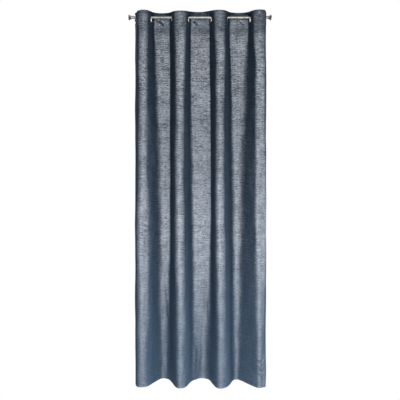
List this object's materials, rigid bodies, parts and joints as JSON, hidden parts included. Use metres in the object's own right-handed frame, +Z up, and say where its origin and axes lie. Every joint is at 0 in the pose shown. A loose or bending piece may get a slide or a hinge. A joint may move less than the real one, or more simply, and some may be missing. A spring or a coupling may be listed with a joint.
{
  "type": "eyelet curtain on a rod",
  "caption": "Opaque slubby curtain panel with a soft sheen, hanging by metal eyelets in wide uneven folds from a thin rod with trumpet finials.",
  "frame": {"origin": "middle of the rod's axis", "axes": "+Z up, +X along the rod to the right as seen from the room, -Y towards the room"},
  "size_m": [0.933, 0.1574, 2.5],
  "materials": {
    "cloth": "slubby woven cloth, dusty navy with a silver-grey sheen on the faces turned to the room",
    "heading": "the same cloth folded over a stiffener, a little darker, coarser slubs",
    "eyelet": "pressed metal rings, polished dark nickel",
    "rod_steel": "satin nickel-plated steel"
  },
  "bodies": {
    "root": {"curtain_panel": "cloth", "heading_band": "heading", "eyelet_1_ring": "eyelet", "eyelet_1_washer": "eyelet", "eyelet_2_ring": "eyelet", "eyelet_2_washer": "eyelet", "eyelet_3_ring": "eyelet", "eyelet_3_washer": "eyelet", "eyelet_4_ring": "eyelet", "eyelet_4_washer": "eyelet", "eyelet_5_ring": "eyelet", "eyelet_5_washer": "eyelet", "eyelet_6_ring": "eyelet", "eyelet_6_washer": "eyelet", "eyelet_7_ring": "eyelet", "eyelet_7_washer": "eyelet", "eyelet_8_ring": "eyelet", "eyelet_8_washer": "eyelet", "rod": "rod_steel", "finial_left": "rod_steel", "finial_right": "rod_steel"}
  },
  "joints": []
}
